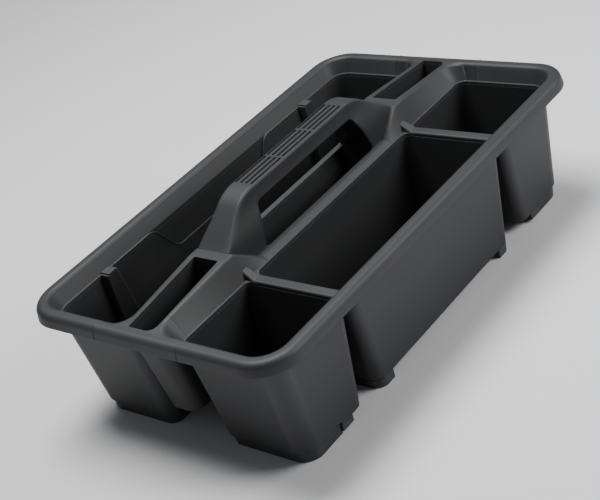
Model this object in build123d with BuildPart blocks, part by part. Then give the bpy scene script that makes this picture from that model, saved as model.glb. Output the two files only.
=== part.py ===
"""Tool storage caddy: an open tray with a row of three buckets, a long trough and a hollow spine between
them, which carries a bridge handle.

Millimetres. X runs along the tray, Y across it from the bucket row to the trough, and Z is up. The origin
is under the middle of the tray, in the plane of its feet. The tray is its own mirror image about X = 0, so
the front end, at negative X, is modelled and the rear end is mirrored from it.
"""
import os

from build123d import *

# ---------------------------------------------------------------- driving dimensions
length, width = 380.0, 235.0      # over the rim
rim_top = 100.4                   # height of the rim above the feet
lip = 10.66                       # width of the rim band
wall = 2.5                        # moulded wall
skirt_drop = 9.4                  # how far the rim turns down outside
edge_r = 3.5                      # rounding of the rim's inner edge
spine_edge_r, low_edge_r = 2.0, 1.0   # rounding of the spine's upper edges, and beside the pocket
rim_corner_r = 19.0               # corner of the opening, at the rim

ledge = 88.3                      # height of the shelf line inside every compartment
ledge_inset = 5.24                # the upper wall leans in this far from rim to ledge
shelf = 1.4                       # width of the shelf
floor_under = 7.0                 # underside of the floors
floor_r = 5.0                     # rounding between walls and floor
end_draft, side_draft = 6.8, 4.7  # lean of the end and side walls from ledge to floor

handle_y = 4.5                    # the handle and its pocket are off centre, towards the trough
foot_near, foot_far = -20.1, 23.2     # flanks of the spine at the ledge
spine_near, spine_far = -11.6, 20.0   # at rim height
peak_near, peak_far = -13.3, 20.3     # at the peaks, where the handle's legs stand
low_near, low_far = -17.0, 20.4       # beside the hand pocket
spine_peak, spine_low = 107.0, 90.5   # top of the spine at the peaks, and beside the pocket
ramp_out, peak_out, peak_in, low_from = 181.5, 108.3, 99.5, 77.0   # stations of the spine's top, in X
end_deck = 164.0                  # the end bridges reach in to here
parting = (-35.4, 41.3)           # where the rim's end pieces part from its long sides, in Y

gap_x, gap_top, gap_bottom = 97.4, 3.6, 19.0   # centre and widths of the V gaps between the buckets
divider_top = ledge + 0.7
post_x, post_top, post_bottom = 120.4, 11.0, 22.0   # centre and widths of the trough's posts
post_face_top, post_face_bottom = 93.2, 87.0        # inner face of a post at the ledge and the floor

slot_y, slot_width, slot_out = 3.2, 22.4, 181.0
pocket_x, pocket_y, pocket_width = 65.5, 2.4, 28.8
pocket_floor = 28.0               # inside floor of the slots and of the hand pocket

grip_top, grip_under, grip_side_low = 132.6, 115.5, 121.2
grip_top_half, grip_side_half, grip_edge_r = 9.7, 10.4, 1.5
groove_pitch, groove_width, groove_depth, groove_length, groove_break = 4.64, 2.2, 2.0, 34.4, 2.0

# ---------------------------------------------------------------- worked out from those
open_x, open_y = length / 2 - lip, width / 2 - lip
seat = rim_top - wall             # underside of the rim's flange
deck = ledge - wall               # underside of the ledge
floor_top = floor_under + wall
tray_end = open_x - ledge_inset - shelf       # inner end wall at the ledge
tray_side = open_y - ledge_inset - shelf      # inner side wall at the ledge
seat_inset = ledge_inset * (rim_top - seat) / (rim_top - ledge)


def shallow(z, at_ledge, at_floor):
    """A wall's position at height z, from its positions at the ledge and at the floor."""
    return at_ledge + (at_floor - at_ledge) * (ledge - z) / (ledge - floor_top)


def funnel(*sections):
    """A straight-sided solid through rounded rectangles, each (z, x0, x1, y0, y1, four corner radii)."""
    with BuildPart() as body:
        for z, x0, x1, y0, y1, radii in sections:
            with BuildSketch(Plane.XY.offset(z)):
                with Locations(((x0 + x1) / 2, (y0 + y1) / 2)):
                    Rectangle(x1 - x0, y1 - y0)
                corners = [(x0, y0, z), (x1, y0, z), (x1, y1, z), (x0, y1, z)]
                for corner, radius in zip(corners, radii):
                    fillet(vertices().sort_by_distance(corner)[0], radius)
        loft(ruled=True)
    return body.part


def prism_x(points, x0, x1):
    """A polygon of (y, z) points drawn out from x0 to x1."""
    with BuildPart() as body:
        with BuildSketch(Plane.YZ.offset(x0)):
            with BuildLine():
                Polyline(*points, close=True)
            make_face()
        extrude(amount=x1 - x0)
    return body.part


def prism_y(points, y0, y1):
    """A polygon of (x, z) points drawn out from y0 to y1."""
    with BuildPart() as body:
        with BuildSketch(Plane.XZ.offset(-y0)):
            with BuildLine():
                Polyline(*points, close=True)
            make_face()
        extrude(amount=y0 - y1)
    return body.part


def block(x0, x1, y0, y1, z0, z1):
    """A plain box between two corners."""
    with BuildPart() as body:
        with Locations(((x0 + x1) / 2, (y0 + y1) / 2, (z0 + z1) / 2)):
            Box(abs(x1 - x0), abs(y1 - y0), abs(z1 - z0))
    return body.part


def cut(keep, *tools):
    """A solid with the tools taken out of it."""
    with BuildPart() as body:
        add(keep)
        for tool in tools:
            add(tool, mode=Mode.SUBTRACT)
    return body.part


def common(first, *others):
    """What the solids have in common."""
    with BuildPart() as body:
        add(first)
        for other in others:
            add(other, mode=Mode.INTERSECT)
    return body.part


# ---------------------------------------------------------------- the hollows of the compartments
class Hollow:
    """The inside of a bucket: its walls at the ledge and at the floor, and its corner radii."""

    def __init__(self, at_ledge, at_floor, radii):
        self.at_ledge, self.at_floor, self.radii = at_ledge, at_floor, radii

    def section(self, z, grow=0.0):
        x0, x1, y0, y1 = (shallow(z, top, low) for top, low in zip(self.at_ledge, self.at_floor))
        return z, x0 - grow, x1 + grow, y0 - grow, y1 + grow, [r + grow for r in self.radii]

    def solid(self, z0=floor_top, z1=ledge + 2.0, grow=0.0, bottom_r=floor_r):
        body = funnel(self.section(z0, grow), self.section(z1, grow))
        if bottom_r:
            with BuildPart() as rounded:
                add(body)
                fillet(rounded.edges().group_by(Axis.Z)[0], bottom_r)
            body = rounded.part
        return body


gap_wall_top, gap_wall_bottom = gap_top / 2 + wall, gap_bottom / 2 + wall
near_ledge, near_floor = (-tray_side, foot_near - shelf), (-tray_side + side_draft, foot_near - shelf - 3.8)
far_ledge, far_floor = (foot_far + shelf, tray_side), (foot_far + shelf + 3.0, tray_side - side_draft)

bucket_front = Hollow(
    (-tray_end, -gap_x - gap_wall_top, *near_ledge),
    (-tray_end + end_draft, -gap_x - gap_wall_bottom, *near_floor),
    [12.0, 5.0, 5.0, 8.0],
)
bucket_middle = Hollow(
    (-gap_x + gap_wall_top, gap_x - gap_wall_top, *near_ledge),
    (-gap_x + gap_wall_bottom, gap_x - gap_wall_bottom, *near_floor),
    [6.0, 6.0, 6.0, 6.0],
)
trough = Hollow(
    (-tray_end, tray_end, *far_ledge),
    (-tray_end + end_draft, tray_end - end_draft, *far_floor),
    [8.0, 8.0, 12.0, 12.0],
)
near_hollows = [bucket_front.solid(), bucket_middle.solid(), mirror(bucket_front.solid(), about=Plane.YZ)]
trough_hollow = trough.solid()


basin_top = rim_top + 4.0


def basin(y_rim, y_spine, y_foot, flip):
    """The space above the ledge, from one long rim to the spine, and on up past the rim."""
    inner = open_x - ledge_inset
    foot_rim = y_rim + ledge_inset * flip
    rise = (basin_top - ledge) / (rim_top - ledge)
    y_rim, y_spine = foot_rim + (y_rim - foot_rim) * rise, y_foot + (y_spine - y_foot) * rise
    outer = inner + ledge_inset * rise
    foot = [rim_corner_r - ledge_inset] * 2 + [9.0] * 2
    top = [rim_corner_r + ledge_inset * (rise - 1)] * 2 + [9.0 + 4.0 * rise] * 2
    if flip < 0:
        top, foot = top[::-1], foot[::-1]
    low, high = sorted((foot_rim, y_foot)), sorted((y_rim, y_spine))
    return funnel((ledge, -inner, inner, *low, foot), (basin_top, -outer, outer, *high, top))


near_basin = basin(-open_y, spine_near, foot_near, 1)
far_basin = basin(open_y, spine_far, foot_far, -1)

# ---------------------------------------------------------------- rim and upper wall, round the opening
rim_top_width, rim_outer_r = 9.0, 5.0
rim_section = [
    (-seat_inset, seat), (0.0, rim_top), (rim_top_width, rim_top), (lip, rim_top - skirt_drop),
    (lip - 2.2, rim_top - skirt_drop), (8.0, seat),
]
collar_section = [
    (-16.0, deck), (-16.0, ledge), (-ledge_inset, ledge), (-seat_inset, seat),
    (wall - seat_inset, seat), (wall - ledge_inset, ledge), (wall - ledge_inset - 0.5, deck),
]


def band_face(section, edge, rounded):
    """The section of a band, in (distance out from the opening's edge, height), with that edge in place."""
    with BuildSketch() as face:
        with BuildLine():
            Polyline(*[(edge + out, z) for out, z in section], close=True)
        make_face()
        if rounded:
            fillet(vertices().sort_by_distance((edge, rim_top))[0], edge_r)
            fillet(vertices().sort_by_distance((edge + rim_top_width, rim_top))[0], rim_outer_r)
    return face.sketch


def band(section, rounded=False):
    """A band of constant section right round the opening: four straights and four turned corners."""
    straight_x, straight_y = open_x - rim_corner_r, open_y - rim_corner_r
    end_face, side_face = band_face(section, open_x, rounded), band_face(section, open_y, rounded)
    with BuildPart() as ring:
        with BuildSketch(Plane.XZ):
            add(end_face)
        extrude(amount=-straight_y)
        with BuildSketch(Plane.YZ):
            add(side_face)
        extrude(amount=straight_x)
        with BuildSketch(Plane.XZ.offset(-straight_y)):
            add(end_face)
        revolve(axis=Axis((straight_x, straight_y, 0), (0, 0, 1)), revolution_arc=90)
        mirror(about=Plane.YZ)
        mirror(about=Plane.XZ)
    return ring.part


rim_ring = band(rim_section, rounded=True)
collar_ring = band(collar_section)
beyond = 400.0
near_zone = block(-beyond, beyond, -beyond, parting[0], 0, beyond)
far_zone = block(-beyond, beyond, parting[1], beyond, 0, beyond)


# ---------------------------------------------------------------- the spine's outer form and its channel

def flank(z, foot, at_rim):
    """Where a flank of the spine is at height z, on its straight lean from the ledge to the rim's height."""
    return foot + (at_rim - foot) * (z - ledge) / (rim_top - ledge)


def ramp(x):
    """Height of the spine's top between the rim and a peak."""
    return rim_top + (spine_peak - rim_top) * (ramp_out - abs(x)) / (ramp_out - peak_out)


def spine_face(top, near, far, radius):
    """The spine's section, in (y, z): two flanks that rise from the shelf to its top."""
    points = [
        (foot_near - shelf, deck), (foot_near - shelf, ledge), (foot_near, ledge), (near, top),
        (far, top), (foot_far, ledge), (foot_far + shelf, ledge), (foot_far + shelf, deck),
    ]
    with BuildSketch() as face:
        with BuildLine():
            Polyline(*points, close=True)
        make_face()
        fillet(vertices().group_by(Axis.Y)[-1], radius)
    return face.sketch


def spine_run(*stations):
    """The spine's outer form through stations (x, height of the top, its two edges, their rounding)."""
    with BuildPart() as run:
        for x, *section in stations:
            with BuildSketch(Plane.YZ.offset(x)):
                add(spine_face(*section))
        loft(ruled=True)
    return run.part


deck_top = ramp(end_deck)
deck_near, deck_far = flank(deck_top, foot_near, spine_near), flank(deck_top, foot_far, spine_far)
deck_station = (-end_deck, deck_top, deck_near, deck_far, edge_r)
out_station = (-peak_out, spine_peak, peak_near, peak_far, spine_edge_r)
in_station = (-peak_in, spine_peak, peak_near, peak_far, spine_edge_r)
low_station = (-low_from, spine_low, low_near, low_far, low_edge_r)
spine_front_form = spine_run(deck_station, out_station, in_station, low_station)
spine_middle_form = spine_run(low_station, (low_from, *low_station[1:]))

shelf_near, shelf_far = foot_near - shelf, foot_far + shelf
channel_near, channel_far = spine_near + wall + 0.5, spine_far - wall
channel_flanks = [
    (shelf_near + wall, 0), (shelf_near + wall, deck), (channel_near, seat), (channel_near, spine_peak),
    (channel_far, spine_peak), (shelf_far - wall, deck), (shelf_far - wall, 0),
]
top_line = [(-ramp_out, rim_top), (-peak_out, spine_peak), (-peak_in, spine_peak), (-low_from, spine_low)]
channel_out = open_x + 7.5
channel_top = [(-channel_out, seat)] + [(x, z - wall) for x, z in top_line]
channel_top += [(-x, z) for x, z in reversed(channel_top)]
channel = common(
    prism_x(channel_flanks, -channel_out, channel_out),
    prism_y([(-channel_out, 0), *channel_top, (channel_out, 0)], -beyond, beyond),
)

# ---------------------------------------------------------------- slots and hand pocket in the spine
slot_near, slot_far = slot_y - slot_width / 2, slot_y + slot_width / 2
pocket_near, pocket_far = pocket_y - pocket_width / 2, pocket_y + pocket_width / 2


def slot_form(grow, z0):
    """A slot's inside, or its outside when grown by the wall."""
    low = (z0, -slot_out + 12 - grow, -peak_out - 3 + grow, slot_near + 2 - grow, slot_far - 2 + grow)
    high = (spine_peak + 3, -slot_out - grow, -peak_out + grow, slot_near - grow, slot_far + grow)
    radii = [r + grow for r in (7.0, 1.5, 1.5, 1.0)]
    return funnel((*low, radii), (*high, radii))


def pocket_form(grow, z0):
    """The hand pocket's inside, or its outside when grown by the wall."""
    low = (z0, -pocket_x + 5 - grow, pocket_x - 5 + grow, pocket_near + 2 - grow, pocket_far - 2 + grow)
    high = (spine_low + 3, -pocket_x - grow, pocket_x + grow, pocket_near - grow, pocket_far + grow)
    return funnel((*low, [4.0 + grow] * 4), (*high, [3.0 + grow] * 4))


slot_inside, pocket_inside = slot_form(0, pocket_floor), pocket_form(0, pocket_floor)

# ---------------------------------------------------------------- handle
leg_halves = [(15.8, spine_low), (15.1, 104.0), (12.4, 115.5), (10.3, 124.5), (9.7, grip_top)]
leg_wall = 3.0
shoulder, shoulder_r = (-66.4, grip_top), 31.0
grip_end, leg_crook, leg_crook_r = -52.0, (-58.0, grip_under), 5.0


def leg_form(inset, sink):
    """A leg's outer form, or, when inset by its wall, the core left hollow in it, sunk into the spine."""
    foot = [(-pocket_x, spine_low), (-pocket_x, spine_low - sink), (-low_from, spine_low - sink),
            (-peak_in - 0.5, spine_peak - sink), (-peak_in, spine_peak)]
    near = [(handle_y - half + inset, z) for half, z in leg_halves]
    far = [(handle_y + half - inset, z) for half, z in reversed(leg_halves)]
    with BuildPart() as form:
        with BuildSketch(Plane.XZ) as outline:
            with BuildLine():
                Polyline(*foot, shoulder, (grip_end, grip_top), (grip_end, grip_under), leg_crook, close=True)
            make_face()
            fillet(outline.vertices().sort_by_distance(shoulder)[0], shoulder_r)
            fillet(outline.vertices().sort_by_distance(leg_crook)[0], leg_crook_r)
            if inset:
                offset(amount=-inset)
        extrude(amount=beyond, both=True)
        with BuildSketch(Plane.YZ):
            with BuildLine():
                near_side = Spline(*near)
                far_side = Spline(*far)
                Line(near_side @ 1, far_side @ 0)
                Polyline(far_side @ 1, (far[-1][0], 0), (near[0][0], 0), near_side @ 0)
            make_face()
        extrude(amount=beyond, both=True, mode=Mode.INTERSECT)
    return form.part


leg_core = leg_form(leg_wall, 10.0)
leg_cores = [leg_core, mirror(leg_core, about=Plane.YZ)]


def write(builder, label):
    """Labels a finished piece and writes it under that name."""
    builder.part.label = label
    export_step(builder.part, f"parts/{label}.step")


def write_pair(builder, front_label, rear_label):
    """Writes a front piece, and its mirror image as the rear piece."""
    write(builder, front_label)
    with BuildPart() as rear:
        mirror(builder.part, about=Plane.YZ)
    write(rear, rear_label)


os.makedirs("parts", exist_ok=True)

# ---------------------------------------------------------------- rim: two long sides with their corners
with BuildPart() as rim_near:
    add(rim_ring)
    add(near_zone, mode=Mode.INTERSECT)
write(rim_near, "rim_near")

with BuildPart() as rim_far:
    add(rim_ring)
    add(far_zone, mode=Mode.INTERSECT)
write(rim_far, "rim_far")

# ---------------------------------------------------------------- end bridges: rim, deck and end wall in one
flange_half = 5.0                 # the bridge takes in this much of the rim's width
bridge_outline = [
    (wall - ledge_inset - 0.5, deck), (wall - ledge_inset, ledge), (wall - seat_inset, seat),
    (flange_half, seat), (flange_half, rim_top),
]

with BuildPart() as deck_plate:
    outline = [(-open_x - out, z) for out, z in bridge_outline]
    add(prism_y([*outline, (-ramp_out, rim_top), (-end_deck, deck_top), (-end_deck, deck)], *parting))
    add([near_basin, far_basin], mode=Mode.SUBTRACT)
    new_edges = deck_plate.edges(Select.LAST).filter_by(lambda edge: edge.center().Z > rim_top)
    fillet(new_edges.filter_by(lambda edge: -open_x - 0.1 < edge.center().X < -end_deck - 0.1), edge_r)

with BuildPart() as bridge_front:
    add(rim_ring)
    add(block(-beyond, -open_x - flange_half, *parting, 0, beyond), mode=Mode.INTERSECT)
    add(deck_plate.part)
    add([near_hollows[0], trough_hollow, channel, slot_inside], mode=Mode.SUBTRACT)
write_pair(bridge_front, "bridge_front", "bridge_rear")

# ---------------------------------------------------------------- dividers between the buckets
collar_inner_wall = -open_y + ledge_inset
cap_half, cap_tip_half, cap_kink, cap_tip = gap_top / 2 + wall - 0.1, 2.8, -26.3, (-14.5, 96.8)
cap_edge_r = 1.5


def divider_form():
    """The cap of a divider: flat from the near wall to the kink, then a tongue up the spine's flank."""
    start = collar_inner_wall - 1.0
    plan = [
        (-cap_half, start), (-cap_half, cap_kink), (-cap_tip_half, spine_near),
        (cap_tip_half, spine_near), (cap_half, cap_kink), (cap_half, start),
    ]
    with BuildPart() as form:
        with BuildSketch(Plane.XY.offset(deck)):
            with BuildLine():
                Polyline(*[(x - gap_x, y) for x, y in plan], close=True)
            make_face()
        extrude(amount=cap_tip[1] - deck)
        with BuildSketch(Plane.YZ.offset(-gap_x)):
            with BuildLine():
                Polyline(
                    (start, deck), (start, divider_top), (cap_kink, divider_top), cap_tip,
                    (spine_near, cap_tip[1]), (spine_near, deck), close=True,
                )
            make_face()
        extrude(amount=beyond, both=True, mode=Mode.INTERSECT)
        upper = form.edges().filter_by(lambda edge: edge.center().Z > divider_top - 0.01)
        lengthwise = upper.filter_by(lambda edge: abs(edge.tangent_at(0.5).X) < 0.5)
        fillet(lengthwise.filter_by(lambda edge: edge.center().Y < cap_tip[0]), cap_edge_r)
    return form.part


cap_space = block(-gap_x - cap_half, -gap_x + cap_half, collar_inner_wall, 0, deck, seat)

# ---------------------------------------------------------------- collar: the upper walls with their shelf
with BuildPart() as collar_near:
    add(collar_ring)
    add(near_zone, mode=Mode.INTERSECT)
    add([*near_hollows, cap_space, mirror(cap_space, about=Plane.YZ)], mode=Mode.SUBTRACT)
write(collar_near, "collar_near")

with BuildPart() as divider_front:
    add(divider_form())
    add([spine_front_form, collar_near.part], mode=Mode.SUBTRACT)
write_pair(divider_front, "divider_front", "divider_rear")

# ---------------------------------------------------------------- posts: hollow columns in the trough's wall
post_top_block = (4.0, 1.1)       # half width and height of the block on a post's head


def post_space(inset, z0, z1):
    """The space of a post's column, or of the groove behind it when inset by the wall."""
    sections = []
    for z in (z0, z1):
        half = shallow(z, post_top / 2, post_bottom / 2) - inset
        face = shallow(z, post_face_top, post_face_bottom) + inset
        sections.append((z, -post_x - half, -post_x + half, face, width / 2, [1.5, 1.5, 0.5, 0.5]))
    return funnel(*sections)


post_blank = common(post_space(0.0, floor_under, ledge), trough.solid(floor_under, ledge, wall, 0.0))
post_blanks = [post_blank, mirror(post_blank, about=Plane.YZ)]

with BuildPart() as post_front:
    add(post_blank)
    add(post_space(wall, floor_under - 1, deck), mode=Mode.SUBTRACT)
    head_half, head_height = post_top_block
    add(block(-post_x - head_half, -post_x + head_half, post_face_top, open_y - ledge_inset,
              ledge, ledge + head_height))
write_pair(post_front, "post_front", "post_rear")

# ---------------------------------------------------------------- the trough's low ledge, with its S-curves
low_ledge, s_out, s_in, s_bend_r = 64.0, 68.0, 52.5, 10.0
recess_depth = shelf

with BuildPart() as low_recess:
    with BuildSketch(Plane.XZ):
        with BuildLine():
            FilletPolyline(
                (0, ledge + 1.5), (-s_out - 15, ledge + 1.5), (-s_out - 15, ledge), (-s_out, ledge),
                (-s_in, low_ledge), (0, low_ledge), radius=[0.5, 0.5, s_bend_r, s_bend_r],
            )
            Line((0, low_ledge), (0, ledge + 1.5))
        make_face()
        mirror(about=Plane.YZ)
    extrude(amount=-beyond)
    deeper = Hollow(
        (-post_x + 10, post_x - 10, 60.0, tray_side + recess_depth),
        (-post_x + 10, post_x - 10, 60.0, tray_side + recess_depth - side_draft),
        trough.radii,
    )
    add(deeper.solid(bottom_r=0.0), mode=Mode.INTERSECT)

with BuildPart() as collar_far:
    add(collar_ring)
    add(far_zone, mode=Mode.INTERSECT)
    for space in (trough_hollow, low_recess.part, *post_blanks):
        add(space, mode=Mode.SUBTRACT)
write(collar_far, "collar_far")

# ---------------------------------------------------------------- buckets and trough, below the collar
outer_bottom_r = 0.8
foot_inset, foot_step = 1.6, 10.0     # the corner feet are set in, below this height
foot_reach = 132.0                    # and past this distance from the middle


def foot_rebate(hollow):
    """What is cut from a compartment's wall above a corner foot, so that the wall steps in to the foot."""
    inside = wall - foot_inset
    return cut(
        block(-beyond, -foot_reach, -beyond, beyond, 0, foot_step),
        funnel(hollow.section(0.0, inside), hollow.section(foot_step + 1, inside)),
    )


for hollow, inside, label in [(bucket_front, near_hollows[0], "bucket_front_near"),
                              (bucket_middle, near_hollows[1], "bucket_middle_near")]:
    with BuildPart() as bucket:
        add(hollow.solid(floor_under, deck, wall, outer_bottom_r))
        add(inside, mode=Mode.SUBTRACT)
        if hollow is bucket_front:
            add(foot_rebate(hollow), mode=Mode.SUBTRACT)
    if hollow is bucket_front:
        write_pair(bucket, label, label.replace("front", "rear"))
    else:
        write(bucket, label)

with BuildPart() as trough_shell:
    add(trough.solid(floor_under, deck, wall, outer_bottom_r))
    for space in (trough_hollow, low_recess.part, *post_blanks):
        add(space, mode=Mode.SUBTRACT)

with BuildPart() as trough_front:
    add(trough_shell.part)
    add(block(-beyond, -post_x, 0, beyond, 0, beyond), mode=Mode.INTERSECT)
    add(foot_rebate(trough), mode=Mode.SUBTRACT)
write_pair(trough_front, "trough_front", "trough_rear")

with BuildPart() as trough_middle:
    add(trough_shell.part)
    add(block(-post_x, post_x, 0, beyond, 0, beyond), mode=Mode.INTERSECT)
write(trough_middle, "trough_middle")

# ---------------------------------------------------------------- spine, with its slots and hand pocket
web_reach, web_y = 12.0, shelf_near - 9.0   # the shelf is filled this far out, in the corners by a divider

with BuildPart() as corner_webs:
    add(block(-gap_x - web_reach, -gap_x + web_reach, web_y, shelf_near, deck, ledge))
    for space in (cap_space, *near_hollows[:2]):
        add(space, mode=Mode.SUBTRACT)

with BuildPart() as spine_front:
    add(spine_front_form)
    add(corner_webs.part)
    for space in (channel, slot_inside, leg_core):
        add(space, mode=Mode.SUBTRACT)
write_pair(spine_front, "spine_front", "spine_rear")

with BuildPart() as spine_middle:
    add(spine_middle_form)
    for space in (channel, pocket_inside, *leg_cores):
        add(space, mode=Mode.SUBTRACT)
write(spine_middle, "spine_middle")

with BuildPart() as slot_front:
    add(slot_form(wall, pocket_floor - wall))
    add(channel, mode=Mode.INTERSECT)
    add(slot_inside, mode=Mode.SUBTRACT)
write_pair(slot_front, "slot_front", "slot_rear")

with BuildPart() as hand_pocket:
    add(pocket_form(wall, pocket_floor - wall))
    add(channel, mode=Mode.INTERSECT)
    add(pocket_inside, mode=Mode.SUBTRACT)
write(hand_pocket, "hand_pocket")

# ---------------------------------------------------------------- handle
with BuildPart() as handle_leg_front:
    add(leg_form(0.0, 1.0))
    add([spine_front_form, spine_middle_form, leg_core], mode=Mode.SUBTRACT)
write_pair(handle_leg_front, "handle_leg_front", "handle_leg_rear")

with BuildPart() as handle_grip:
    with BuildSketch(Plane((grip_end, handle_y, 0), x_dir=(0, 1, 0), z_dir=(1, 0, 0))) as grip_section:
        with BuildLine():
            top = Line((-grip_top_half, grip_top), (grip_top_half, grip_top))
            side = Line(top @ 1, (grip_side_half, grip_side_low))
            under = ThreePointArc(side @ 1, (0, grip_under), (-grip_side_half, grip_side_low))
            Line(under @ 1, top @ 0)
        make_face()
        fillet(grip_section.vertices().group_by(Axis.Y)[-1], grip_edge_r)
    extrude(amount=-2 * grip_end)
    with BuildSketch(Plane((0, handle_y, grip_top))):
        with GridLocations(groove_length + groove_break, groove_pitch, 3, 4):
            SlotOverall(groove_length, groove_width)
    extrude(amount=-groove_depth, mode=Mode.SUBTRACT)
write(handle_grip, "handle_grip")

# ---------------------------------------------------------------- feet: low skirts under the floors
foot_wall, middle_foot_from = 2.2, 71.4
apron_low = 2.0                   # between the corner feet and the posts, the walls run down to here


def skirt(hollow, inset):
    """A skirt under a compartment's floor, standing in from its outer wall."""
    outside, inside = wall - inset, wall - inset - foot_wall
    return cut(
        funnel(hollow.section(0.0, outside), hollow.section(floor_under, outside)),
        funnel(hollow.section(-1.0, inside), hollow.section(floor_under + 1, inside)),
    )


for hollow, label in [(bucket_front, "foot_front_near"), (trough, "foot_front_far")]:
    corner_zone = block(-beyond, -foot_reach, -beyond, beyond, 0, floor_under)
    apron_zone = block(-foot_reach, -post_x, -beyond, beyond, apron_low, floor_under)
    with BuildPart() as foot:
        add(common(skirt(hollow, foot_inset), corner_zone))
        add(common(skirt(hollow, 0.0), apron_zone))
    write_pair(foot, label, label.replace("front", "rear"))

with BuildPart() as feet_middle_near:
    add(skirt(bucket_middle, 0.0))
    add(block(-middle_foot_from, middle_foot_from, -beyond, beyond, -beyond, beyond), mode=Mode.SUBTRACT)
write(feet_middle_near, "feet_middle_near")
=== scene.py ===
"""Tool storage caddy: the looks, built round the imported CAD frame. Metres, in the frame of the CAD."""

import math

import bmesh
import bpy
from mathutils import Matrix, Vector


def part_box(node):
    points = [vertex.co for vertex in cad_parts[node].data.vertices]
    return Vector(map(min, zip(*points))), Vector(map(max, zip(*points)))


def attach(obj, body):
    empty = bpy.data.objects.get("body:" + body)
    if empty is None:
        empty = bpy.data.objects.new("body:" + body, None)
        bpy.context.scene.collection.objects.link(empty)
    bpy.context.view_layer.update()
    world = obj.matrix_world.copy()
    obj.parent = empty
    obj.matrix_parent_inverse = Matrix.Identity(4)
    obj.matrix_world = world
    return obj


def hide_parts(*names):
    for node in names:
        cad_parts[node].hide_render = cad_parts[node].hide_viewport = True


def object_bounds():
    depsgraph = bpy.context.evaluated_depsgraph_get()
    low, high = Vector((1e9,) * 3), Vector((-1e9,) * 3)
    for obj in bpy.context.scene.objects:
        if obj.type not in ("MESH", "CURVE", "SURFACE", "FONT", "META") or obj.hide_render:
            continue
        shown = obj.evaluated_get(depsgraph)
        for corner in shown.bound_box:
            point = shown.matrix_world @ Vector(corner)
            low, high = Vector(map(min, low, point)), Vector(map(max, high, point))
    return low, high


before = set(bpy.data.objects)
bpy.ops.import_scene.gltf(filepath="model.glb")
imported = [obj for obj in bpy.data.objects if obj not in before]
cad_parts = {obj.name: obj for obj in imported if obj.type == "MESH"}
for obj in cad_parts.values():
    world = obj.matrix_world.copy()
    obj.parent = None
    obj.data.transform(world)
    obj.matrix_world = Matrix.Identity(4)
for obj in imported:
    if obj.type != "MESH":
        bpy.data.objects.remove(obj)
cad_box = [list(corner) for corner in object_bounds()]


# ---------------------------------------------------------------- materials
CHARCOAL, ROUGHNESS, SPECULAR = (0.022, 0.0225, 0.024), 0.56, 0.42
GRAIN_MM, GRAIN_HEIGHT = 0.35, 0.00006
MOTTLE, GLOSS_SPREAD = 0.14, 0.07     # how far colour and roughness stray from their own value
WEAR_FROM, WEAR_TO, WEAR_MOST = 0.53, 0.62, 0.35    # how pointed an edge wears, and how much at most
RUBBED, DUST = 2.2, 0.01              # how much paler plastic is where it's worn
SOFT_EDGE = 0.0006                    # radius that light sees on every sharp edge, in metres


def node(tree, kind, at=(0, 0), **values):
    """A shader node with its inputs and properties set by name."""
    made = tree.nodes.new(kind)
    made.location = at
    for key, value in values.items():
        if hasattr(made, key):
            setattr(made, key, value)
        else:
            made.inputs[key.replace("_", " ")].default_value = value
    return made


def moulded_plastic(name, colour, roughness, grain_mm, grain_height):
    """Matte textured moulding: spark-eroded grain, slow mottling, worn edges and faint rubbing marks."""
    material = bpy.data.materials.new(name)
    material.use_nodes = True
    tree = material.node_tree
    tree.nodes.clear()
    link = tree.links.new
    output = node(tree, "ShaderNodeOutputMaterial", (900, 0))
    surface = node(tree, "ShaderNodeBsdfPrincipled", (600, 0))
    link(surface.outputs["BSDF"], output.inputs["Surface"])
    place = node(tree, "ShaderNodeTexCoord", (-1200, 0))

    grain = node(tree, "ShaderNodeTexNoise", (-900, -300), Scale=1000.0 / grain_mm, Detail=2.0, Roughness=0.6)
    mottle = node(tree, "ShaderNodeTexNoise", (-900, 0), Scale=22.0, Detail=5.0, Roughness=0.62)
    flow = node(tree, "ShaderNodeTexNoise", (-900, 300), Scale=7.0, Detail=3.0, Roughness=0.5)
    for texture in (grain, mottle, flow):
        link(place.outputs["Object"], texture.inputs["Vector"])

    tint = node(tree, "ShaderNodeMix", (-300, 200), data_type="RGBA")
    tint.inputs["A"].default_value = (*[c * (1 - MOTTLE) for c in colour], 1.0)
    tint.inputs["B"].default_value = (*[c * (1 + MOTTLE) for c in colour], 1.0)
    link(mottle.outputs["Fac"], tint.inputs["Factor"])

    edge = node(tree, "ShaderNodeNewGeometry", (-900, 600))
    worn = node(
        tree, "ShaderNodeMapRange", (-600, 600), From_Min=WEAR_FROM, From_Max=WEAR_TO, To_Max=WEAR_MOST
    )
    link(edge.outputs["Pointiness"], worn.inputs["Value"])
    rubbed = node(tree, "ShaderNodeMix", (0, 300), data_type="RGBA")
    rubbed.inputs["B"].default_value = (*[c * RUBBED + DUST for c in colour], 1.0)
    link(worn.outputs["Result"], rubbed.inputs["Factor"])
    link(tint.outputs["Result"], rubbed.inputs["A"])
    link(rubbed.outputs["Result"], surface.inputs["Base Color"])

    low, high = roughness - GLOSS_SPREAD, roughness + GLOSS_SPREAD
    gloss = node(tree, "ShaderNodeMapRange", (-300, -100), To_Min=low, To_Max=high)
    link(flow.outputs["Fac"], gloss.inputs["Value"])
    link(gloss.outputs["Result"], surface.inputs["Roughness"])

    rounding = node(tree, "ShaderNodeBevel", (0, -500), samples=4, Radius=SOFT_EDGE)
    bump = node(tree, "ShaderNodeBump", (300, -300), Strength=0.5, Distance=grain_height)
    link(grain.outputs["Fac"], bump.inputs["Height"])
    link(rounding.outputs["Normal"], bump.inputs["Normal"])
    link(bump.outputs["Normal"], surface.inputs["Normal"])
    surface.inputs["Specular IOR Level"].default_value = SPECULAR
    return material


charcoal = moulded_plastic("charcoal_moulding", CHARCOAL, ROUGHNESS, GRAIN_MM, GRAIN_HEIGHT)

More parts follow.
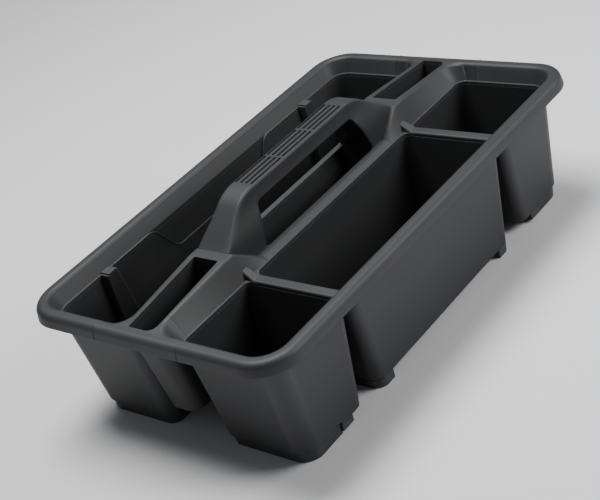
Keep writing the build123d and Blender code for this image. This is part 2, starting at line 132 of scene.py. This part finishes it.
for cad_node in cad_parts.values():
    cad_node.data.materials.clear()
    cad_node.data.materials.append(charcoal)


# ---------------------------------------------------------------- mesh helpers, in millimetres
MM = 0.001
SMOOTH_BELOW = math.radians(32)


def mesh_piece(name, points, faces):
    """A shaded mesh object of charcoal plastic, from points in millimetres, that rides with the tray."""
    mesh = bpy.data.meshes.new(name)
    mesh.from_pydata([[c * MM for c in point] for point in points], [], faces)
    bm = bmesh.new()
    bm.from_mesh(mesh)
    bmesh.ops.recalc_face_normals(bm, faces=bm.faces)
    for edge in bm.edges:
        edge.smooth = len(edge.link_faces) == 2 and edge.calc_face_angle() < SMOOTH_BELOW
    bm.to_mesh(mesh)
    bm.free()
    for polygon in mesh.polygons:
        polygon.use_smooth = True
    mesh.materials.append(charcoal)
    piece = bpy.data.objects.new(name, mesh)
    bpy.context.scene.collection.objects.link(piece)
    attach(piece, "root")
    return piece


def mix(a, b, share):
    """The point at this share of the way from a to b."""
    return tuple(p + (q - p) * share for p, q in zip(a, b))


def arc(corner, start, end, radius, steps):
    """Points along the fillet of this radius between the lines from corner to start and to end."""
    corner, to_start = Vector(corner), (Vector(start) - Vector(corner)).normalized()
    to_end = (Vector(end) - corner).normalized()
    half = to_start.angle(to_end) / 2
    centre = corner + (to_start + to_end).normalized() * radius / math.sin(half)
    first = corner + to_start * radius / math.tan(half) - centre
    last = corner + to_end * radius / math.tan(half) - centre
    turn = first.angle(last)
    spots = []
    for step in range(steps + 1):
        share = step / steps
        blend = first * math.sin((1 - share) * turn) + last * math.sin(share * turn)
        spots.append(tuple(centre + blend / math.sin(turn)))
    return spots


def square_to(line, i):
    """The direction in (x, z) that is square to a line of (x, z) points at its point i."""
    before, after = line[max(i - 1, 0)], line[min(i + 1, len(line) - 1)]
    along = Vector((after[0] - before[0], after[1] - before[1])).normalized()
    return Vector((-along.y, along.x))


def bridge_loops(first, second, count):
    """Quads between two closed loops of point numbers that start at first and second."""
    return [
        (first + i, first + (i + 1) % count, second + (i + 1) % count, second + i)
        for i in range(count)
    ]


# ---------------------------------------------------------------- handle: one arch with ribbed grip
grip_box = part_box("handle_grip")
GRIP_TOP, GRIP_UNDER = grip_box[1][2] / MM, grip_box[0][2] / MM
HANDLE_Y = (grip_box[0][1] + grip_box[1][1]) / 2 / MM
BELLY = 5.7                           # depth of the grip's rounded underside
GRIP_SIDE = GRIP_UNDER + BELLY        # lower edge of the grip's flat sides
BELLY_FROM = 104.0                    # height on the inner face where the belly begins
PEAK_X, PEAK_Z = 99.5, 107.0          # where a leg's outer face meets the spine
FOOT_X, FOOT_Z = 65.5, 90.5           # where its inner face does
FOOT_LEAN = 0.5                       # the outer face's lean below that
SHOULDER, SHOULDER_R = (66.4, GRIP_TOP), 31.0
CROOK, CROOK_R = (56.6, GRIP_SIDE), 5.0
SUNK = 7.0                            # the legs reach this far into the spine
LEG_WALL, CORE_SECTIONS = 3.0, 7      # the hollow in a leg, and how many sections it rises through
SETTLED_X, LEANING_X = 40.0, 47.0     # sections stand upright inside the first, and one leans at the second
GRIP_HALF, LEG_FLARE = 9.7, 6.1       # half width of the grip, and what the legs add to it
FLARE_Z, FLARE_SOFTNESS = 114.5, 4.6
EDGE_R, LEAST_R = 1.8, 0.4            # rounding of the arch's edges, and the least of it in a core
EDGE_STEPS, SIDE_STEPS, ARC_STEPS = 4, 6, (10, 8)
INNER_SHARES = (0.8, 0.9)             # where the inner face's last two sections before the crook stand
GROOVE_PITCH, GROOVE_WIDTH, GROOVE_DEPTH, GROOVE_SLOPE = 4.64, 2.2, 2.0, 0.15
GROOVE_LENGTH, GROOVE_BREAK = 34.4, 2.0
GROOVE_ROWS, GROOVE_RUNS = 4, 3


def half_width(z):
    """The handle's half width: wide legs that narrow to the grip in one smooth flare."""
    return GRIP_HALF + LEG_FLARE / (1.0 + math.exp((z - FLARE_Z) / FLARE_SOFTNESS))


def groove_runs():
    """The stretches of X that the grooves cover."""
    step = GROOVE_LENGTH + GROOVE_BREAK
    centres = [(run - (GROOVE_RUNS - 1) / 2) * step for run in range(GROOVE_RUNS)]
    return [(centre - GROOVE_LENGTH / 2, centre + GROOVE_LENGTH / 2) for centre in centres]


def arch_stations():
    """Pairs of (x, z) points, on the arch's outer line and on its inner line, from foot to foot."""
    outer_arc = arc(SHOULDER, (PEAK_X, PEAK_Z), (0.0, GRIP_TOP), SHOULDER_R, ARC_STEPS[0])
    inner_arc = arc(CROOK, (FOOT_X, FOOT_Z), (0.0, GRIP_SIDE), CROOK_R, ARC_STEPS[1])
    peak, foot = (PEAK_X, PEAK_Z), (FOOT_X, FOOT_Z)
    pairs = [((PEAK_X - FOOT_LEAN, PEAK_Z - SUNK), (FOOT_X, FOOT_Z - SUNK))]
    for share in (0.0, 0.25, 0.5, 0.75):
        pairs.append((mix(peak, outer_arc[0], share), mix(foot, inner_arc[0], share * INNER_SHARES[0])))
    inner_line = [mix(foot, inner_arc[0], share) for share in INNER_SHARES] + inner_arc
    pairs += list(zip(outer_arc, inner_line))
    outer_end, inner_end = outer_arc[-1][0], inner_arc[-1][0]
    marks = {0.0, SETTLED_X, LEANING_X}
    for start, end in groove_runs():
        for brink in (abs(start), abs(end)):
            marks |= {brink - GROOVE_SLOPE, brink, brink + GROOVE_SLOPE}
    for x in sorted((mark for mark in marks if mark < outer_end), reverse=True):
        lag = (outer_end - inner_end) * max(0.0, (x - SETTLED_X) / (outer_end - SETTLED_X))
        pairs.append(((x, GRIP_TOP), (x - lag, GRIP_SIDE)))
    far = [((-ox, oz), (-ix, iz)) for (ox, oz), (ix, iz) in reversed(pairs[:-1])]
    return [((ox, oz), (ix, iz)) for (ox, oz), (ix, iz) in pairs + far]


def top_points(edge, top, groove_floor):
    """A section's upper side in (y, drop), from edge to edge, down and up through the rows of grooves."""
    half, low_half = GROOVE_WIDTH / 2, GROOVE_WIDTH / 2 - GROOVE_SLOPE
    line = [(-edge, top)]
    for row in range(GROOVE_ROWS):
        centre = (row - (GROOVE_ROWS - 1) / 2) * GROOVE_PITCH
        line += [(centre - half, top), (centre - low_half, groove_floor)]
        line += [(centre + low_half, groove_floor), (centre + half, top)]
    return line + [(edge, top)]


def side_points(width_at, top, end, radius):
    """A section's side in (y, drop): its rounded upper edge, then the flared face."""
    edge = width_at(top) - radius
    line = []
    for step in range(1, EDGE_STEPS + 1):
        angle = math.pi / 2 * step / EDGE_STEPS
        drop = top + radius * (1 - math.cos(angle))
        line.append((edge + radius * math.sin(angle) + width_at(drop) - width_at(top), drop))
    for step in range(1, SIDE_STEPS):
        drop = top + radius + (end - top - 2 * radius) * step / SIDE_STEPS
        line.append((width_at(drop), drop))
    return line


def under_points(low, end, radius, belly):
    """Half a section's underside in (y, drop): flat on a leg, bowed as deep as the belly on the grip."""
    flat, bowed = [], []
    for step in range(EDGE_STEPS + 1):
        angle = math.pi / 2 * step / EDGE_STEPS
        flat.append((low - radius * (1 - math.cos(angle)), end - radius * (1 - math.sin(angle))))
    flat += [((low - radius) * (1 - step / 4), end) for step in (1, 2, 3)]
    bow = (low * low + belly * belly) / (2 * belly) if belly > 0.1 else 0.0
    for step in range(len(flat)):
        y = low * math.cos(math.pi / 2 * step / len(flat))
        sag = math.sqrt(bow * bow - y * y) - (bow - belly) if bow else 0.0
        bowed.append((y, end + sag))
    return [mix(a, b, belly / BELLY) for a, b in zip(flat, bowed)]


def arch_loop(outer, inner, inset, grooved):
    """One section of the arch, as a closed loop of points round the line from outer to inner."""
    down = Vector(inner) - Vector(outer)
    depth = down.length
    down.normalize()
    belly = BELLY * max(0.0, min(1.0, (inner[1] - BELLY_FROM) / (GRIP_SIDE - BELLY_FROM)))

    def place(y, drop):
        spot = Vector(outer) + down * drop
        return (spot.x, HANDLE_Y + y, spot.y)

    def width_at(drop):
        return half_width((Vector(outer) + down * drop).y) - inset

    radius = max(EDGE_R - inset, LEAST_R)
    top, end = inset, depth - inset
    groove_floor = top + (GROOVE_DEPTH if grooved else 0.0)
    side = side_points(width_at, top, end, radius) + under_points(width_at(end), end, radius, belly)
    line = top_points(width_at(top) - radius, top, groove_floor)
    line += side + [(0.0, end + belly)] + [(-y, drop) for y, drop in reversed(side)]
    return [place(y, drop) for y, drop in line]


def in_groove(x):
    """Whether the section at this X is cut by the grooves."""
    return any(start + GROOVE_SLOPE / 2 < x < end - GROOVE_SLOPE / 2 for start, end in groove_runs())


def handle():
    """The arch with its outer skin, and the hollow cores that rise into its legs from below."""
    stations = arch_stations()
    points, faces, loops = [], [], []
    for outer, inner in stations:
        loops.append(len(points))
        grooved = outer[1] > GRIP_TOP - 0.01 and in_groove(outer[0])
        points += arch_loop(outer, inner, 0.0, grooved)
    count = loops[1] - loops[0]
    for first, second in zip(loops, loops[1:]):
        faces += bridge_loops(first, second, count)
    for leg, previous in ((stations, loops[0]), (stations[::-1], loops[-1])):
        for outer, inner in leg[:CORE_SECTIONS]:
            core = len(points)
            points += arch_loop(outer, inner, LEG_WALL, False)
            faces += bridge_loops(previous, core, count)
            previous = core
        faces.append(tuple(range(previous, previous + count)))
    return mesh_piece("handle", points, faces)


arch = handle()
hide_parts("handle_grip", "handle_leg_front", "handle_leg_rear")


# ---------------------------------------------------------------- parting lines across the rim's ends
rim_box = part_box("rim_near")
RIM_TOP, RIM_END = rim_box[1][2] / MM, rim_box[1][0] / MM
SEAMS_Y = (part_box("bridge_front")[0][1] / MM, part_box("bridge_front")[1][1] / MM)
SEAM_HALF, SEAM_PROUD, SEAM_SUNK = 0.4, 0.28, 0.6   # half width, and how far it stands out and reaches in
RIM_WIDTH, RIM_FLAT, RIM_DROP = 10.66, 9.0, 9.4     # the rim's top to its outside, its level part, its skirt
WALL_LEAN, WALL_DROP = 5.24, 12.1                   # the wall's lean and height below the rim's inner corner
INNER_R, OUTER_R = 3.5, 5.0
LINE_START, LINE_MIDDLE, LINE_END = 0.02, 0.35, 0.98    # shares of the wall, and of the skirt


def rim_line():
    """The rim's section from the ledge up its wall, over the top and down the skirt, in (x, z)."""
    opening = RIM_END - RIM_WIDTH
    foot = (opening - WALL_LEAN, RIM_TOP - WALL_DROP)
    inner_corner, outer_corner = (opening, RIM_TOP), (opening + RIM_FLAT, RIM_TOP)
    skirt = (RIM_END, RIM_TOP - RIM_DROP)
    line = [mix(foot, inner_corner, share) for share in (LINE_START, LINE_MIDDLE)]
    line += arc(inner_corner, foot, outer_corner, INNER_R, 6)
    line += arc(outer_corner, inner_corner, skirt, OUTER_R, 8)
    return line + [mix(outer_corner, skirt, LINE_END)]


def seams():
    """Fine raised lines where the mould's parts met, across both ends of the rim."""
    line = rim_line()
    points, faces = [], []
    for side in (-1, 1):
        for seam_y in SEAMS_Y:
            start = len(points)
            for i, (x, z) in enumerate(line):
                out = square_to(line, i)
                proud, sunk = Vector((x, z)) + out * SEAM_PROUD, Vector((x, z)) - out * SEAM_SUNK
                points += [
                    (side * sunk.x, seam_y - SEAM_HALF, sunk.y),
                    (side * proud.x, seam_y, proud.y),
                    (side * sunk.x, seam_y + SEAM_HALF, sunk.y),
                ]
            for i in range(len(line) - 1):
                faces += bridge_loops(start + 3 * i, start + 3 * i + 3, 3)
            faces += [(start, start + 1, start + 2), tuple(len(points) - k for k in (1, 2, 3))]
    return mesh_piece("parting_seams", points, faces)


seams()


# ---------------------------------------------------------------- rolled edge of the trough's low ledge
LEDGE_Z, LOW_Z = 88.3, 64.0           # the shelf in the trough, and its low stretch
S_OUT, S_IN, S_BEND_R = 68.0, 52.5, 10.0
LIP_FROM, LIP_R, LIP_STEPS = 112.0, 0.55, 8
WALL_Y, WALL_DRAFT, FLOOR_Z = 100.2, 4.7, 9.5   # the trough's wall at the shelf, and its lean to the floor


def lip_line():
    """The low ledge's edge in (x, z): in from a post, down one S-curve, along, and up the other."""
    high, brink = (LIP_FROM, LEDGE_Z), (S_OUT, LEDGE_Z)
    dip, middle = (S_IN, LOW_Z), (0.0, LOW_Z)
    half = [high] + arc(brink, high, dip, S_BEND_R, 8) + arc(dip, brink, middle, S_BEND_R, 8) + [middle]
    return half + [(-x, z) for x, z in reversed(half[:-1])]


def ledge_lip():
    """A thin rounded edge all along the trough's shelf between its posts."""
    line = lip_line()
    points, faces = [], []
    for i, (x, z) in enumerate(line):
        side = square_to(line, i)
        y = WALL_Y - WALL_DRAFT * (LEDGE_Z - z) / (LEDGE_Z - FLOOR_Z)
        for step in range(LIP_STEPS):
            angle = 2 * math.pi * step / LIP_STEPS
            shift = side * LIP_R * math.cos(angle)
            points.append((x + shift.x, y + LIP_R * math.sin(angle), z + shift.y))
    for i in range(len(line) - 1):
        faces += bridge_loops(LIP_STEPS * i, LIP_STEPS * (i + 1), LIP_STEPS)
    last = len(points) - LIP_STEPS
    faces += [tuple(range(LIP_STEPS)), tuple(range(last, len(points)))]
    return mesh_piece("ledge_lip", points, faces)


ledge_lip()


# ---------------------------------------------------------------- floor, light and camera
FLOOR_SIZE, FLOOR_COLOUR = 30.0, (0.72, 0.72, 0.73, 1.0)
SKY_COLOUR, SKY_STRENGTH = (0.9, 0.92, 0.95, 1.0), 0.16
MIDDLE = (0.0, 0.0, 0.07)
FOCAL_LENGTH = 83.14


def studio_floor():
    """A plain pale floor at the height of the feet, out past everything the camera can see."""
    bpy.ops.mesh.primitive_plane_add(size=FLOOR_SIZE, location=(0.0, 0.0, cad_box[0][2]))
    floor = bpy.context.object
    floor.name = "floor"
    paint = bpy.data.materials.new("pale_floor")
    paint.use_nodes = True
    shader = paint.node_tree.nodes["Principled BSDF"]
    shader.inputs["Base Color"].default_value = FLOOR_COLOUR
    shader.inputs["Roughness"].default_value = 0.6
    floor.data.materials.append(paint)


def softbox(name, place, target, size, power):
    """A rectangular area light that faces a target."""
    lamp = bpy.data.lights.new(name, "AREA")
    lamp.shape = "RECTANGLE"
    lamp.size, lamp.size_y = size
    lamp.energy = power
    holder = bpy.data.objects.new(name, lamp)
    holder.location = place
    holder.rotation_euler = (Vector(target) - Vector(place)).to_track_quat("-Z", "Y").to_euler()
    bpy.context.scene.collection.objects.link(holder)


def studio_light():
    """Dim sky all round, a broad light overhead and a key from the near side, towards the rear end."""
    world = bpy.data.worlds.new("studio")
    world.use_nodes = True
    sky = world.node_tree.nodes["Background"]
    sky.inputs["Color"].default_value = SKY_COLOUR
    sky.inputs["Strength"].default_value = SKY_STRENGTH
    bpy.context.scene.world = world
    softbox("overhead", (0.1, 0.25, 1.35), MIDDLE, (0.8, 0.6), 30.0)
    softbox("near_side", (0.85, -1.25, 0.95), MIDDLE, (0.9, 0.7), 24.0)


def camera():
    """Looks down on the front near corner, rolled so that the tray seems tilted in the frame."""
    lens = bpy.data.cameras.new("camera")
    lens.lens = FOCAL_LENGTH
    holder = bpy.data.objects.new("camera", lens)
    right = Vector((0.58489, -0.76266, -0.27615))
    up = Vector((0.56026, 0.13368, 0.81746))
    back = right.cross(up)
    turn = Matrix((right, up, back)).transposed().to_4x4()
    holder.matrix_world = Matrix.Translation((-0.6136, -0.6326, 0.5644)) @ turn
    bpy.context.scene.collection.objects.link(holder)
    bpy.context.scene.camera = holder


studio_floor()
studio_light()
camera()
